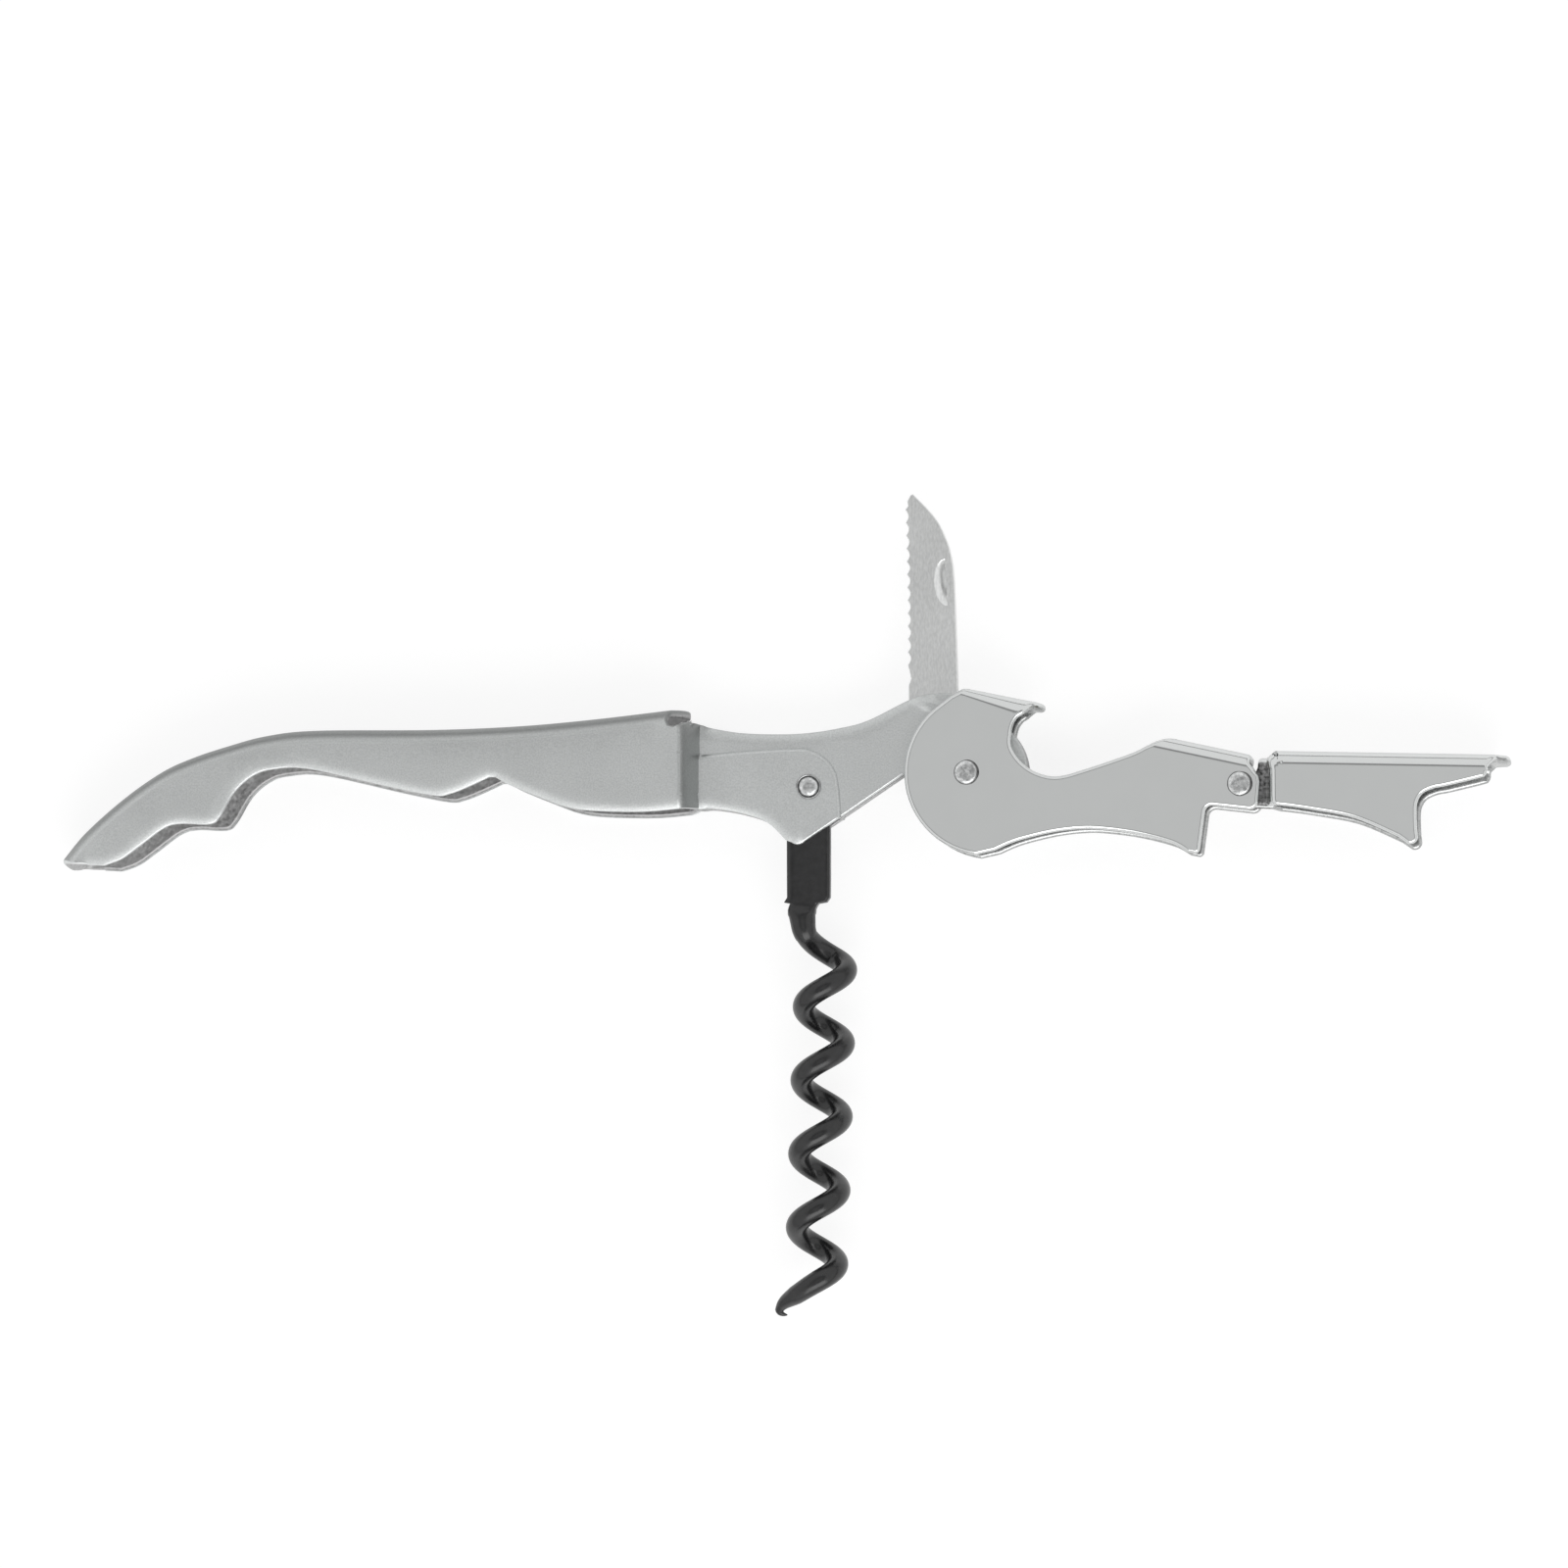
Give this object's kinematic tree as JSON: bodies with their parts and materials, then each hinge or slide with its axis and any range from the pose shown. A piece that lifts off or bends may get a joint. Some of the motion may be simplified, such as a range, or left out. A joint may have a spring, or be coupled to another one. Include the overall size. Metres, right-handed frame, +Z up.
{
  "type": "lever corkscrew",
  "caption": "Two-step lever corkscrew of folded steel with a coiled worm, a serrated foil knife, a hinged lever and a cap hook, shown unfolded and lying flat.",
  "frame": {"origin": "middle of the bounding box in X and Y, on the surface that the tool lies on", "axes": "+X along the handle from the butt of the grip to the end of the lever, +Y across the handle towards the point of the open knife, +Z up, along every hinge pin"},
  "size_m": [0.1798, 0.1011, 0.0108],
  "materials": {
    "handle_steel": "fine satin, bead-blasted",
    "lever_chrome": "polished plating",
    "blade_steel": "fine satin",
    "rivet_steel": "polished, slightly uneven domes",
    "worm_coating": "glossy non-stick coating on steel wire",
    "bush_brass": "plain",
    "washer_steel": "plain"
  },
  "bodies": {
    "handle": {"handle": "handle_steel", "worm_rivet": "rivet_steel", "knife_pin": "rivet_steel", "lever_bush": "bush_brass", "lever_washer_front": "washer_steel", "lever_washer_back": "washer_steel"},
    "worm": {"worm": "worm_coating"},
    "foil_knife": {"foil_knife": "blade_steel"},
    "lever_first_stage": {"lever_first_stage": "lever_chrome", "lever_rivet": "rivet_steel", "step_rivet": "rivet_steel", "step_bush": "bush_brass"},
    "lever_second_stage": {"lever_second_stage": "lever_chrome"}
  },
  "joints": [
    {"name": "knife_fold", "type": "hinge", "parent": "handle", "child": "foil_knife", "pos_m": [0.01915, 0.02065, 0.0054], "axis": [0, 0, 1], "range_deg": [0, 90]},
    {"name": "worm_fold", "type": "hinge", "parent": "handle", "child": "worm", "pos_m": [0.00395, 0.01425, 0.0054], "axis": [0, 0, -1], "range_deg": [0, 90]},
    {"name": "lever_swing", "type": "hinge", "parent": "handle", "child": "lever_first_stage", "pos_m": [0.02365, 0.01565, 0.0054], "axis": [0, 0, -1], "range_deg": [0, 78]},
    {"name": "second_stage_swing", "type": "hinge", "parent": "lever_first_stage", "child": "lever_second_stage", "pos_m": [0.05705, 0.01385, 0.0054], "axis": [0, 0, -1], "range_deg": [0, 40]}
  ]
}
